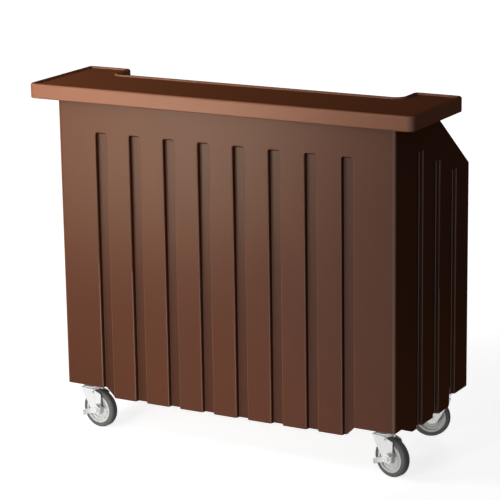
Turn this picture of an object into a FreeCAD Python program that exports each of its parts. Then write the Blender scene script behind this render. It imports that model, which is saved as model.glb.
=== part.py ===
"""Portable bar: a rotomoulded cabinet on four swivel casters under a U-shaped bar top.

The rear side holds an insulated ice bin with two sliding covers and a drain valve,
a hung speed rail and a storage shelf.

Millimetres. +Z is up. The guests stand on the -Y side and +X is on their right hand.
The origin lies on the floor under the middle of the whole bar.
"""
import FreeCAD, Part
import math
import os
from FreeCAD import Vector

# Overall sizes
TOP_LENGTH = 1372.0
TOTAL_HEIGHT = 1173.0
CABINET_LENGTH = 1213.0
CABINET_DEPTH = 558.0
FRONT_OVERHANG = 48.5
RAIL_PROJECTION = 69.5
CASTER_HEIGHT = 155.0

# Clearances, and the length by which a cut passes the face that it opens
RUNNING = 0.05
SLIDING = 0.3
LOOSE = 2.0
OVERRUN = 5.0
TOUCH = 0.01

# Bar top
TOP_EDGE = 49.0
TOP_MID_DEPTH = 270.0
TOP_WING_DEPTH = 374.0
WING_WIDTH = 166.0
RIM_WIDTH = 14.0
RIM_HEIGHT = 6.0
TOP_CORNER_RADIUS = 22.0
WING_CORNER_RADIUS = 18.0
BAY_CORNER_RADIUS = 28.0
TOP_UPPER_RADIUS = 7.0
TOP_LOWER_RADIUS = 4.0
RIM_INNER_RADIUS = 2.5

# Cabinet shell
WALL = 45.0
SKIRT_DROP = 31.0
SKIRT_WALL = 22.0
FLOOR_THICKNESS = 35.0
CORNER_RADIUS = 12.0
END_EDGE_RADIUS = 6.0
SLOPE_RUN = 271.5
SLOPE_FALL = 212.0
SLOPE_CORNER_RADIUS = 10.0
UPPER_BOX_DEPTH = 150.0
DECK_HEIGHT = 880.0
DECK_THICKNESS = 30.0
DECK_SETBACK = 35.0
APRON_THICKNESS = 20.0
APRON_HEIGHT = 140.0
INSIDE_RADIUS = 12.0
NOTCH_LENGTH = 142.5
FRONT_NOTCH_DEPTH = 53.0
REAR_NOTCH_DEPTH = 120.0
NOTCH_RUN = 31.0
FRONT_NOTCH_RUN = 77.0

# Grooves of the front and of the ends
FRONT_GROOVES = 8
END_GROOVES = 3
GROOVE_PITCH = 127.0
GROOVE_WIDTH = 42.0
GROOVE_DEPTH = 15.0
GROOVE_DRAFT = 3.0
GROOVE_TOP_DROP = 104.0
GROOVE_CORNER_RADIUS = 7.0
GROOVE_EDGE_RADIUS = 4.0
END_GROOVE_START = 182.5
END_GROOVE_FALL = 53.5

# Storage shelf and its ledges
SHELF_HEIGHT = 350.0
SHELF_THICKNESS = 5.0
SHELF_LIP = 22.0
SHELF_GAP = 4.0
LEDGE_WIDTH = 16.0
LEDGE_HEIGHT = 14.0

# Brackets under the bar top and their screws
BRACKET_LEG = 34.0
BRACKET_WIDTH = 30.0
BRACKET_THICKNESS = 3.0
BRACKET_SPREAD = 330.0
BRACKETS_PER_SIDE = 2
WING_BRACKET_SETBACK = 216.0
SCREW_RADIUS = 2.2
SCREW_LENGTH = 16.0
SCREW_HEAD_RADIUS = 4.6
SCREW_HEAD_HEIGHT = 3.0
SCREW_HOLE_SHARE = 0.6

# Ice bin
BIN_LENGTH = 600.0
BIN_WIDTH = 260.0
BIN_DEPTH = 380.0
BIN_DRAFT = 12.0
BIN_RADIUS = 30.0
LINER_WALL = 5.0
FOAM_WALL = 20.0
JACKET_WALL = 4.0
FLANGE_LAP = 14.0
FLANGE_THICKNESS = 5.0

# Sliding covers of the ice bin
COVER_THICKNESS = 6.0
COVER_OVERLAP = 20.0
COVER_ENGAGE = 8.0
COVER_RAIL_WEB = 3.0
COVER_RAIL_BACK = 4.0
COVER_STOP_THICKNESS = 8.0
COVER_CORNER_RADIUS = 4.0
GRIP_LENGTH = 90.0
GRIP_WIDTH = 24.0
GRIP_DEPTH = 3.5
GRIP_SETBACK = 45.0

# Drain
DRAIN_RADIUS = 16.0
DRAIN_BORE = 12.0
DRAIN_FLANGE_RADIUS = 30.0
DRAIN_FLANGE_THICKNESS = 3.0
STRAINER_RADIUS = 20.0
STRAINER_THICKNESS = 1.5
STRAINER_HOLE_RADIUS = 1.8
STRAINER_RING_RADIUS = 7.0
STRAINER_HOLES = 6
LOCKNUT_FLATS = 46.0
LOCKNUT_HEIGHT = 8.0
ELBOW_WALL = 3.5
ELBOW_SOCKET = 16.0
ELBOW_BEND = 30.0
VALVE_SETBACK = 32.0
VALVE_RADIUS = 19.0
VALVE_LENGTH = 52.0
VALVE_COLLAR_FLATS = 34.0
VALVE_COLLAR_LENGTH = 12.0
BONNET_RADIUS = 9.0
BONNET_HEIGHT = 28.0
STEM_RADIUS = 4.0
STEM_DEPTH = 18.0
LEVER_LENGTH = 82.0
LEVER_WIDTH = 16.0
LEVER_THICKNESS = 4.0
LEVER_HUB_RADIUS = 11.0
OUTLET_RADIUS = 9.5
OUTLET_BORE = 7.0
OUTLET_LENGTH = 28.0

# Speed rail and its hangers
RAIL_LENGTH = 560.0
RAIL_SHEET = 1.5
RAIL_BACK_HEIGHT = 150.0
RAIL_FRONT_HEIGHT = 74.0
RAIL_TOP_DROP = 16.0
RAIL_HEM_RADIUS = 4.0
RAIL_HOOK = 14.0
RAIL_SLOTS = 8
RAIL_SLOT_LENGTH = 44.0
RAIL_SLOT_WIDTH = 8.0
HANGER_SPREAD = 400.0
HANGER_WIDTH = 40.0
HANGER_SHEET = 2.5
HANGER_POCKET = 5.0
HANGER_LIP = 20.0
HANGER_RISE = 18.0

# Casters
WHEEL_RADIUS = 63.5
WHEEL_WIDTH = 30.0
TYRE_DEPTH = 15.5
TYRE_SHOULDER_RADIUS = 9.0
CORE_RIM_WIDTH = 28.0
CORE_RIM_DEPTH = 7.0
CORE_WEB_WIDTH = 12.0
CORE_RIB_WIDTH = 19.0
CORE_RIB_RADIUS = 31.0
CORE_RIB_DEPTH = 3.5
HUB_RADIUS = 19.0
HUB_WIDTH = 38.0
HUB_GAP = 1.5
SLEEVE_RADIUS = 8.0
AXLE_RADIUS = 5.0
AXLE_FLATS = 16.0
AXLE_HEAD_HEIGHT = 6.0
AXLE_TAIL = 3.0
TRAIL = 36.0
FORK_SHEET = 3.2
FORK_BEND_RADIUS = 5.0
WHEEL_TOP_GAP = 5.0
LEG_FRONT = 32.0
LEG_CROWN_REAR = 12.0
LEG_HEEL_REAR = 57.0
LEG_HEEL_DROP = 14.0
LEG_EYE_RADIUS = 15.0
LEG_CORNER_RADIUS = 4.0
LEG_HOLE_RADIUS = 3.0
LEG_HOLE_REAR = 25.0
LEG_HOLE_DROP = 11.0
SWIVEL_BOSS_RADIUS = 24.0
SWIVEL_BOSS_HEIGHT = 3.8
RACE_RADIUS = 30.0
RACE_LOWER_RADIUS = 26.0
KINGPIN_RADIUS = 6.0
KINGPIN_HEAD_RADIUS = 9.0
KINGPIN_HEAD_HEIGHT = 3.4
PLATE_LENGTH = 80.0
PLATE_WIDTH = 62.0
PLATE_THICKNESS = 4.0
PLATE_RADIUS = 8.0
PLATE_BOLT_LENGTH = 64.0
PLATE_BOLT_WIDTH = 46.0
BOLT_RADIUS = 4.0
BOLT_FLATS = 13.0
BOLT_HEAD_HEIGHT = 5.0
BOLT_LENGTH = 22.0
INSERT_RADIUS = 6.5
INSERT_LENGTH = 22.0
KINGPIN_FRONT_INSET = 62.0
KINGPIN_REAR_INSET = 50.0
KINGPIN_FRONT_SETBACK = 52.0
KINGPIN_REAR_SETBACK = 88.0
CASTER_ANGLES = {"front_left": -7.0, "front_right": -16.0, "rear_left": 168.0, "rear_right": -154.0}
BRAKED = ("front_left", "front_right")

# Brake levers of the front casters
BRAKE_SHEET = 3.0
BRAKE_HUB_RADIUS = 14.0
BRAKE_ARM_WIDTH = 17.0
BRAKE_LONG_ARM = 46.0
BRAKE_SHORT_ARM = 29.0
BRAKE_TILT = 17.0
BRAKE_BEND = 30.0
BRAKE_FOOT = 16.0

# Levels and planes that follow from the sizes
Y_TOP_FRONT = -(FRONT_OVERHANG + CABINET_DEPTH + RAIL_PROJECTION) / 2
Y_FACE = Y_TOP_FRONT + FRONT_OVERHANG
Y_REAR = Y_FACE + CABINET_DEPTH
Y_STORE_FRONT = Y_FACE + WALL
Y_BOX_REAR = Y_FACE + UPPER_BOX_DEPTH
Y_SLOPE_TOP = Y_REAR - SLOPE_RUN
Y_DECK_REAR = Y_REAR - DECK_SETBACK
Y_APRON_FRONT = Y_DECK_REAR - APRON_THICKNESS
Y_RAIL_OUTER = Y_REAR + RAIL_PROJECTION
X_END = CABINET_LENGTH / 2
X_INSIDE = X_END - WALL
Z_TOP = TOTAL_HEIGHT
Z_SEAT = TOTAL_HEIGHT - TOP_EDGE
Z_PAN = TOTAL_HEIGHT - RIM_HEIGHT
Z_FLOOR_UNDER = CASTER_HEIGHT
Z_SKIRT = CASTER_HEIGHT - SKIRT_DROP
Z_FLOOR = CASTER_HEIGHT + FLOOR_THICKNESS
Z_SLOPE_FOOT = Z_SEAT - SLOPE_FALL
Z_DECK_UNDER = DECK_HEIGHT - DECK_THICKNESS
Z_APRON_UNDER = DECK_HEIGHT - APRON_HEIGHT
Y_BIN = (Y_BOX_REAR + Y_DECK_REAR) / 2
Z_FLANGE = DECK_HEIGHT + FLANGE_THICKNESS
Z_BIN_FLOOR = Z_FLANGE - BIN_DEPTH
Z_LINER_UNDER = Z_BIN_FLOOR - LINER_WALL
Z_FOAM_UNDER = Z_LINER_UNDER - FOAM_WALL
Z_JACKET_UNDER = Z_FOAM_UNDER - JACKET_WALL
JACKET_GROWTH = LINER_WALL + FOAM_WALL + JACKET_WALL
COVER_SLOT = COVER_THICKNESS + 2 * SLIDING
COVER_RAIL_HEIGHT = 3 * COVER_RAIL_WEB + 2 * COVER_SLOT
COVER_LEVELS = (Z_FLANGE + COVER_RAIL_WEB + SLIDING,
                Z_FLANGE + 2 * COVER_RAIL_WEB + COVER_SLOT + SLIDING)
COVER_LENGTH = BIN_LENGTH / 2 + COVER_OVERLAP / 2
Z_ELBOW_TOP = Z_JACKET_UNDER - LOCKNUT_HEIGHT - LOOSE
Z_DRAIN_TAIL = Z_ELBOW_TOP - ELBOW_SOCKET
Z_ELBOW_BEND = Z_DRAIN_TAIL - ELBOW_WALL
Z_DRAIN_PIPE = Z_ELBOW_BEND - ELBOW_BEND
Y_VALVE = Y_REAR - VALVE_SETBACK
Y_OUTLET_START = Y_VALVE + VALVE_LENGTH / 2
Z_LEVER = Z_DRAIN_PIPE + BONNET_HEIGHT
AXLE_HEIGHT = WHEEL_RADIUS
Z_CROWN_UNDER = 2 * WHEEL_RADIUS + WHEEL_TOP_GAP
Z_CROWN = Z_CROWN_UNDER + FORK_SHEET
Z_BOSS = Z_CROWN + SWIVEL_BOSS_HEIGHT
Z_PLATE_UNDER = CASTER_HEIGHT - PLATE_THICKNESS
FORK_INSIDE = HUB_WIDTH / 2 + HUB_GAP
FORK_OUTSIDE = FORK_INSIDE + FORK_SHEET
CORE_RADIUS = WHEEL_RADIUS - TYRE_DEPTH
X_KINGPIN = {"front": X_END - KINGPIN_FRONT_INSET, "rear": X_END - KINGPIN_REAR_INSET}
Y_KINGPIN = {"front": Y_FACE + KINGPIN_FRONT_SETBACK, "rear": Y_REAR - KINGPIN_REAR_SETBACK}
Z_RAIL_TOP = DECK_HEIGHT - RAIL_TOP_DROP
Z_RAIL_UNDER = Z_RAIL_TOP - RAIL_BACK_HEIGHT
Y_HANGER_LIP = Y_DECK_REAR + HANGER_SHEET + HANGER_POCKET
Y_RAIL_BACK = Y_HANGER_LIP + HANGER_SHEET + SLIDING
Y_RAIL_RETURN = Y_DECK_REAR + HANGER_SHEET + (HANGER_POCKET - RAIL_SHEET) / 2
Z_HANGER_LIP = Z_RAIL_TOP - RAIL_SHEET
Z_HANGER_UNDER = Z_HANGER_LIP - HANGER_LIP

X_AXIS = Vector(1, 0, 0)
Y_AXIS = Vector(0, 1, 0)
Z_AXIS = Vector(0, 0, 1)
ORIGIN = Vector(0, 0, 0)


# Drawing helpers
def plan(z):
    """Map a plan point to the level z."""
    return lambda u, v: Vector(u, v, z)


def end_view(x):
    """Map a point of depth and height to the plane x."""
    return lambda u, v: Vector(x, u, v)


def front_view(y):
    """Map a point of length and height to the plane y."""
    return lambda u, v: Vector(u, y, v)


def outline(points, radii, place):
    """Closed wire through flat points, each corner rounded by its own radius."""
    count = len(points)
    starts, ends, arcs = [], [], []
    for i in range(count):
        corner = Vector(*points[i], 0)
        back = (Vector(*points[i - 1], 0) - corner).normalize()
        ahead = (Vector(*points[(i + 1) % count], 0) - corner).normalize()
        half = back.getAngle(ahead) / 2
        reach = radii[i] / math.tan(half)
        middle = corner + (back + ahead).normalize() * (radii[i] / math.sin(half) - radii[i])
        starts.append(corner + back * reach)
        ends.append(corner + ahead * reach)
        arcs.append(middle)
    edges = []
    for i in range(count):
        start, middle, end = [place(p.x, p.y) for p in (starts[i], arcs[i], ends[i])]
        if radii[i] > 0:
            edges.append(Part.Arc(start, middle, end).toShape())
        following = starts[(i + 1) % count]
        following = place(following.x, following.y)
        if following.distanceToPoint(end) > TOUCH:
            edges.append(Part.makeLine(end, following))
    return Part.Wire(edges)


def prism(points, radii, place, run):
    """Solid drawn from a rounded outline along the vector run."""
    return Part.Face(outline(points, radii, place)).extrude(run)


def rectangle(x0, x1, y0, y1):
    return [(x0, y0), (x1, y0), (x1, y1), (x0, y1)]


def block(x0, x1, y0, y1, z0, z1):
    return Part.makeBox(x1 - x0, y1 - y0, z1 - z0, Vector(x0, y0, z0))


def slab(x0, x1, y0, y1, z0, z1, radius):
    """Upright block with rounded plan corners."""
    return prism(rectangle(x0, x1, y0, y1), [radius] * 4, plan(z0), Vector(0, 0, z1 - z0))


def rod(radius, start, axis, length):
    return Part.makeCylinder(radius, length, start, axis)


def tube(outer, inner, start, axis, length):
    return rod(outer, start, axis, length).cut(rod(inner, start, axis, length))


def hexagon(flats, start, axis, height):
    """Six-sided prism whose opposite sides are the length flats apart."""
    corners = [(flats / math.sqrt(3) * math.cos(math.pi / 3 * i),
                flats / math.sqrt(3) * math.sin(math.pi / 3 * i)) for i in range(6)]
    solid = prism(corners, [0] * 6, plan(0), Vector(0, 0, height))
    solid.Placement = FreeCAD.Placement(start, FreeCAD.Rotation(Z_AXIS, axis))
    return solid


def turned(profile, start, axis_place):
    """Ring turned about the Y direction through start from points of radius and width."""
    points = [Vector(start.x + radius, start.y + width, start.z) for radius, width in profile]
    face = Part.Face(Part.makePolygon(points + points[:1]))
    return face.revolve(start, axis_place)


def edges_where(shape, test):
    return [edge for edge in shape.Edges if test(edge)]


def spans(edge):
    """Bounding box of an edge."""
    return edge.BoundBox


def near(a, b):
    return abs(a - b) < TOUCH


def copies(shape, offsets):
    """Shapes like the given one at each offset."""
    made = []
    for offset in offsets:
        made.append(shape.translated(offset))
    return made


# Bar top
def top_points(inset):
    """Plan corners of the bar top, drawn inward by inset."""
    x0 = TOP_LENGTH / 2 - inset
    x1 = TOP_LENGTH / 2 - WING_WIDTH + inset
    y0 = Y_TOP_FRONT + inset
    y1 = Y_TOP_FRONT + TOP_MID_DEPTH - inset
    y2 = Y_TOP_FRONT + TOP_WING_DEPTH - inset
    return [(-x0, y0), (x0, y0), (x0, y2), (x1, y2), (x1, y1), (-x1, y1), (-x1, y2), (-x0, y2)]


def top_radii(inset):
    outer = TOP_CORNER_RADIUS - inset
    wing = WING_CORNER_RADIUS - inset
    bay = BAY_CORNER_RADIUS + inset
    return [outer, outer, wing, wing, bay, bay, wing, wing]


def make_bar_top():
    body = prism(top_points(0), top_radii(0), plan(Z_SEAT), Vector(0, 0, TOP_EDGE))
    upper = edges_where(body, lambda e: near(spans(e).ZMin, Z_TOP))
    body = body.makeFillet(TOP_UPPER_RADIUS, upper)
    lower = edges_where(body, lambda e: near(spans(e).ZMax, Z_SEAT))
    body = body.makeFillet(TOP_LOWER_RADIUS, lower)
    pan = prism(top_points(RIM_WIDTH), top_radii(RIM_WIDTH), plan(Z_PAN), Vector(0, 0, RIM_HEIGHT + OVERRUN))
    floor = edges_where(pan, lambda e: near(spans(e).ZMax, Z_PAN))
    body = body.cut(pan.makeFillet(RIM_INNER_RADIUS, floor))
    rim = edges_where(body, lambda e: near(spans(e).ZMin, Z_TOP) and in_rim(e))
    body = body.makeFillet(RIM_INNER_RADIUS, rim)
    return body.cut(bracket_holes())


def in_rim(edge):
    """True for an edge on the inner outline of the rim, not on its outer one."""
    inner = Part.Face(outline(top_points(RIM_WIDTH - TOUCH), top_radii(RIM_WIDTH - TOUCH), plan(Z_TOP)))
    return inner.isInside(edge.CenterOfMass, TOUCH, True)


# Brackets that hold the bar top, and screws
def screw(seat, inward):
    """Pan-head screw driven along the vector inward, its head on the point seat."""
    head = rod(SCREW_HEAD_RADIUS, seat - inward * SCREW_HEAD_HEIGHT, inward, SCREW_HEAD_HEIGHT)
    rim = edges_where(head, lambda e: e.CenterOfMass.distanceToPoint(seat) > SCREW_HEAD_HEIGHT - TOUCH
                      and len(e.Vertexes) == 1)
    head = head.makeFillet(SCREW_HEAD_HEIGHT / 2, rim)
    return head.fuse(rod(SCREW_RADIUS, seat, inward, SCREW_LENGTH))


def screw_hole(seat, inward):
    return rod(SCREW_RADIUS + RUNNING, seat - inward * OVERRUN, inward, OVERRUN + SCREW_LENGTH + LOOSE)


def bracket_places():
    """Corner point, outward direction and width direction of each bracket."""
    places = []
    step = BRACKET_SPREAD
    for i in range(BRACKETS_PER_SIDE):
        for side in (-1, 1):
            x = side * step * (i + 1 / BRACKETS_PER_SIDE)
            places.append((Vector(x, Y_BOX_REAR, Z_SEAT), Y_AXIS, X_AXIS))
    for side in (-1, 1):
        corner = Vector(side * X_INSIDE, Y_FACE + WING_BRACKET_SETBACK, Z_SEAT)
        places.append((corner, X_AXIS * -side, Y_AXIS))
    return places


def bracket(corner, outward, across):
    """Angle with one leg on the wall and one under the bar top."""
    half = BRACKET_WIDTH / 2
    inner = BRACKET_THICKNESS
    points = [(0, 0), (BRACKET_LEG, 0), (BRACKET_LEG, -inner), (inner, -inner),
              (inner, -BRACKET_LEG), (0, -BRACKET_LEG)]
    radii = [BRACKET_THICKNESS, 0, 0, BRACKET_THICKNESS / 2, 0, 0]
    return prism(points, radii, lambda u, v: corner - across * half + outward * u + Z_AXIS * v,
                 across * BRACKET_WIDTH)


def bracket_screw_seats(corner, outward):
    """Seat and direction of the wall screw and of the top screw of a bracket."""
    reach = BRACKET_LEG * SCREW_HOLE_SHARE
    wall_seat = corner + outward * BRACKET_THICKNESS - Z_AXIS * reach
    top_seat = corner + outward * reach - Z_AXIS * BRACKET_THICKNESS
    return [(wall_seat, outward * -1), (top_seat, Z_AXIS)]


def all_bracket_seats():
    seats = []
    for corner, outward, across in bracket_places():
        seats += bracket_screw_seats(corner, outward)
    return seats


def bracket_holes():
    return [screw_hole(seat, inward) for seat, inward in all_bracket_seats()]


def make_top_brackets():
    solids = [bracket(*place) for place in bracket_places()]
    return Part.makeCompound([solid.cut(bracket_holes()) for solid in solids])


def make_bracket_screws():
    return Part.makeCompound([screw(seat, inward) for seat, inward in all_bracket_seats()])


# Cabinet shell
def groove_cutter(top, place):
    """Tapered slot, open at the bottom; place maps width, height and depth to space."""
    wires = []
    for depth in (-OVERRUN, GROOVE_DEPTH):
        taper = GROOVE_DRAFT * depth / GROOVE_DEPTH
        half = GROOVE_WIDTH / 2 - taper
        points = rectangle(-half, half, Z_SKIRT - OVERRUN, top - taper)
        radii = [0, 0, GROOVE_CORNER_RADIUS, GROOVE_CORNER_RADIUS]
        wires.append(outline(points, radii, lambda u, v: place(u, v, depth)))
    return Part.makeLoft(wires, True, True)


def front_groove_centres():
    return [GROOVE_PITCH * (i - (FRONT_GROOVES - 1) / 2) for i in range(FRONT_GROOVES)]


def end_groove_centres():
    """Depth position and top of each groove of an end wall, stepped down to the rear."""
    top = Z_SEAT - GROOVE_TOP_DROP
    return [(Y_FACE + END_GROOVE_START + GROOVE_PITCH * i, top - END_GROOVE_FALL * i)
            for i in range(END_GROOVES)]


def groove_cutters():
    cutters = []
    for x in front_groove_centres():
        cutters.append(groove_cutter(Z_SEAT - GROOVE_TOP_DROP,
                                     lambda u, v, d: Vector(x + u, Y_FACE + d, v)))
    for side in (-1, 1):
        for y, top in end_groove_centres():
            cutters.append(groove_cutter(top, lambda u, v, d: Vector(side * (X_END - d), y + u, v)))
    return cutters


def groove_edge(edge, depth):
    """True for an edge of a groove at the given depth from the outer face."""
    box = spans(edge)
    reach = GROOVE_WIDTH / 2 + TOUCH
    if box.ZMax < Z_SKIRT + TOUCH or box.ZMax > Z_SEAT - GROOVE_TOP_DROP + TOUCH:
        return False
    if near(box.YMin, Y_FACE + depth) and near(box.YMax, Y_FACE + depth):
        x = (box.XMin + box.XMax) / 2
        return min(abs(x - centre) for centre in front_groove_centres()) < reach
    level = X_END - depth
    if near(abs(box.XMin), level) and near(abs(box.XMax), level):
        y = (box.YMin + box.YMax) / 2
        return min(abs(y - centre) for centre, top in end_groove_centres()) < reach
    return False


def cabinet_block():
    """Outer form with rounded corners and all grooves."""
    points = [(Y_FACE, Z_SKIRT), (Y_FACE, Z_SEAT), (Y_SLOPE_TOP, Z_SEAT),
              (Y_REAR, Z_SLOPE_FOOT), (Y_REAR, Z_SKIRT)]
    solid = prism(points, [0, 0, 0, SLOPE_CORNER_RADIUS, 0], end_view(-X_END), X_AXIS * CABINET_LENGTH)
    upright = edges_where(solid, lambda e: near(spans(e).YMax, Y_FACE) and near(spans(e).XMin, spans(e).XMax))
    solid = solid.makeFillet(CORNER_RADIUS, upright)
    solid = solid.makeFillet(END_EDGE_RADIUS, edges_where(solid, lambda e: rear_edge(e, X_END)))
    solid = solid.cut(groove_cutters())
    for depth in (0, GROOVE_DEPTH):
        solid = solid.makeFillet(GROOVE_EDGE_RADIUS, edges_where(solid, lambda e: groove_edge(e, depth)))
    return solid


def rear_edge(edge, level):
    """True for an edge of the sloping and upright rear outline of an end wall, in the plane level."""
    box = spans(edge)
    flat = near(abs(box.XMin), level) and near(abs(box.XMax), level)
    return flat and box.YMin > Y_SLOPE_TOP - TOUCH and box.ZMax - box.ZMin > TOUCH


def on_rear_outline(edge):
    """True for an edge on the slope or on the upright rear face of an end wall."""
    box = spans(edge)
    return near(box.YMax, Y_REAR) or box.ZMin > Z_SLOPE_FOOT - SLOPE_CORNER_RADIUS


def hollow(x, y0, y1, z0, z1, rounded):
    """Block to cut out, its edges rounded where the test says so."""
    solid = block(-x, x, y0, y1, z0, z1)
    return solid.makeFillet(INSIDE_RADIUS, edges_where(solid, rounded))


def work_hollows():
    """Space over the deck, and the space behind the deck's rear edge."""
    rear = Y_REAR + OVERRUN
    work = hollow(X_INSIDE, Y_BOX_REAR, rear, DECK_HEIGHT, Z_SEAT + OVERRUN,
                  lambda e: spans(e).YMin < rear - TOUCH and spans(e).ZMin < Z_SEAT)
    setback = block(-X_INSIDE, X_INSIDE, Y_DECK_REAR, rear, Z_FLOOR, DECK_HEIGHT + INSIDE_RADIUS + OVERRUN)
    return [work, setback]


def store_hollows():
    """Storage space under the deck, its doorway below the apron, and the underside."""
    rear = Y_REAR + OVERRUN
    store = hollow(X_INSIDE, Y_STORE_FRONT, Y_APRON_FRONT, Z_FLOOR, Z_DECK_UNDER,
                   lambda e: spans(e).YMax < Y_STORE_FRONT + TOUCH)
    doorway = block(-X_INSIDE, X_INSIDE, Y_APRON_FRONT - OVERRUN, Y_DECK_REAR + OVERRUN, Z_FLOOR, Z_APRON_UNDER)
    x = X_END - SKIRT_WALL
    under = block(-x, x, Y_FACE + SKIRT_WALL, rear, Z_SKIRT - OVERRUN, Z_FLOOR_UNDER)
    return [store, doorway, under]


def caster_notches():
    """Cuts that raise the skirt at the four corners, each ending in a slope."""
    cuts = []
    for side in (-1, 1):
        points = notch_profile(side * (X_END - NOTCH_LENGTH), side * (X_END + OVERRUN), -side * NOTCH_RUN)
        cuts.append(prism(points, [0] * 4, front_view(Y_FACE - OVERRUN), Y_AXIS * (SKIRT_WALL + 2 * OVERRUN)))
        start = side * (X_END - SKIRT_WALL / 2) - SKIRT_WALL / 2 - OVERRUN
        for points in (notch_profile(Y_FACE + FRONT_NOTCH_DEPTH, Y_FACE - OVERRUN, FRONT_NOTCH_RUN),
                       notch_profile(Y_REAR - REAR_NOTCH_DEPTH, Y_REAR + OVERRUN, -NOTCH_RUN)):
            cuts.append(prism(points, [0] * 4, end_view(start), X_AXIS * (SKIRT_WALL + 2 * OVERRUN)))
    return cuts


def notch_profile(end, outside, run):
    """Side view of a notch: flat from outside to end, then a slope that falls to the skirt over run."""
    low = Z_SKIRT - OVERRUN
    reach = run * (SKIRT_DROP + OVERRUN) / SKIRT_DROP
    return [(end, Z_FLOOR_UNDER), (outside, Z_FLOOR_UNDER), (outside, low), (end + reach, low)]


def shelf_ledges():
    """Moulded ledges on both end walls that carry the shelf."""
    under = SHELF_HEIGHT - SHELF_THICKNESS - LEDGE_HEIGHT
    ledges = []
    for side in (-1, 1):
        x0, x1 = sorted((side * X_INSIDE, side * (X_INSIDE - LEDGE_WIDTH)))
        ledges.append(block(x0, x1, Y_STORE_FRONT + INSIDE_RADIUS, Y_DECK_REAR, under, under + LEDGE_HEIGHT))
    return ledges


def bin_opening():
    half_x = BIN_LENGTH / 2 + JACKET_GROWTH + LOOSE
    half_y = BIN_WIDTH / 2 + JACKET_GROWTH + LOOSE
    return slab(-half_x, half_x, Y_BIN - half_y, Y_BIN + half_y, Z_DECK_UNDER - OVERRUN,
                DECK_HEIGHT + OVERRUN, BIN_RADIUS + JACKET_GROWTH + LOOSE)


def make_cabinet_shell():
    solid = cabinet_block().cut(work_hollows()).removeSplitter()
    inner = edges_where(solid, lambda e: rear_edge(e, X_INSIDE) and on_rear_outline(e))
    solid = solid.makeFillet(END_EDGE_RADIUS, inner)
    solid = solid.cut(store_hollows() + caster_notches())
    solid = solid.fuse(shelf_ledges())
    holes = bracket_holes() + hanger_holes() + [insert_hole(seat) for seat in insert_seats()]
    return solid.cut([bin_opening()] + holes).removeSplitter()


# Storage shelf
def make_storage_shelf():
    x = X_INSIDE - SHELF_GAP
    y0 = Y_STORE_FRONT + SHELF_GAP
    y1 = Y_DECK_REAR
    under = SHELF_HEIGHT - SHELF_THICKNESS
    plate = slab(-x, x, y0, y1, under, SHELF_HEIGHT, INSIDE_RADIUS)
    lip_x = X_INSIDE - LEDGE_WIDTH - SHELF_GAP
    lips = []
    for y in (y0 + INSIDE_RADIUS, (y0 + y1) / 2, y1 - SHELF_THICKNESS):
        lips.append(block(-lip_x, lip_x, y, y + SHELF_THICKNESS, SHELF_HEIGHT - SHELF_LIP, under))
    return plate.fuse(lips).removeSplitter()


# Ice bin
def bin_form(growth, z_low, z_high):
    """Tapered tub form, wider than the bin's inside by growth on each side."""
    wires = []
    for z in (z_low, z_high):
        taper = BIN_DRAFT * (Z_FLANGE - z) / BIN_DEPTH
        x = BIN_LENGTH / 2 + growth - taper
        y = BIN_WIDTH / 2 + growth - taper
        wires.append(outline(rectangle(-x, x, Y_BIN - y, Y_BIN + y), [BIN_RADIUS + growth] * 4, plan(z)))
    return Part.makeLoft(wires, True, True)


def drain_hole(radius):
    return rod(radius, Vector(0, Y_BIN, Z_JACKET_UNDER - OVERRUN), Z_AXIS, BIN_DEPTH)


def make_ice_bin_liner():
    lap = JACKET_GROWTH + LOOSE + FLANGE_LAP
    x = BIN_LENGTH / 2 + lap
    y = BIN_WIDTH / 2 + lap
    flange = slab(-x, x, Y_BIN - y, Y_BIN + y, DECK_HEIGHT, Z_FLANGE, BIN_RADIUS + lap)
    solid = flange.fuse(bin_form(LINER_WALL, Z_LINER_UNDER, Z_FLANGE))
    inside = bin_form(0, Z_BIN_FLOOR, Z_FLANGE + OVERRUN)
    return solid.cut([inside, drain_hole(DRAIN_RADIUS + SLIDING)]).removeSplitter()


def make_ice_bin_foam():
    solid = bin_form(LINER_WALL + FOAM_WALL, Z_FOAM_UNDER, DECK_HEIGHT)
    return solid.cut([bin_form(LINER_WALL, Z_LINER_UNDER, Z_FLANGE), drain_hole(DRAIN_RADIUS + SLIDING)])


def make_ice_bin_jacket():
    solid = bin_form(JACKET_GROWTH, Z_JACKET_UNDER, DECK_HEIGHT)
    inside = bin_form(LINER_WALL + FOAM_WALL, Z_FOAM_UNDER, Z_FLANGE)
    return solid.cut([inside, drain_hole(DRAIN_RADIUS + SLIDING)])


# Sliding covers
def make_cover_rails():
    """Two rails along the bin, each with a lower and an upper slot."""
    x = BIN_LENGTH / 2 + COVER_STOP_THICKNESS
    rails = []
    for side in (-1, 1):
        inner = Y_BIN + side * BIN_WIDTH / 2
        back = inner + side * (COVER_ENGAGE + SLIDING + COVER_RAIL_BACK)
        y0, y1 = sorted((inner, back))
        solid = block(-x, x, y0, y1, Z_FLANGE, Z_FLANGE + COVER_RAIL_HEIGHT)
        slot_y = sorted((inner - side * OVERRUN, inner + side * (COVER_ENGAGE + SLIDING)))
        slots = []
        for level in COVER_LEVELS:
            z = level - SLIDING
            slots.append(block(-x - OVERRUN, x + OVERRUN, slot_y[0], slot_y[1], z, z + COVER_SLOT))
        rails.append(solid.cut(slots))
    return Part.makeCompound(rails)


def make_cover_stops():
    """Bars that close the rails at both ends of the bin."""
    half = BIN_WIDTH / 2 + COVER_ENGAGE + SLIDING + COVER_RAIL_BACK
    stops = []
    for side in (-1, 1):
        x0, x1 = sorted((side * (BIN_LENGTH / 2 + COVER_STOP_THICKNESS),
                         side * (BIN_LENGTH / 2 + 2 * COVER_STOP_THICKNESS)))
        stops.append(block(x0, x1, Y_BIN - half, Y_BIN + half, Z_FLANGE, Z_FLANGE + COVER_RAIL_HEIGHT))
    return Part.makeCompound(stops)


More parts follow.
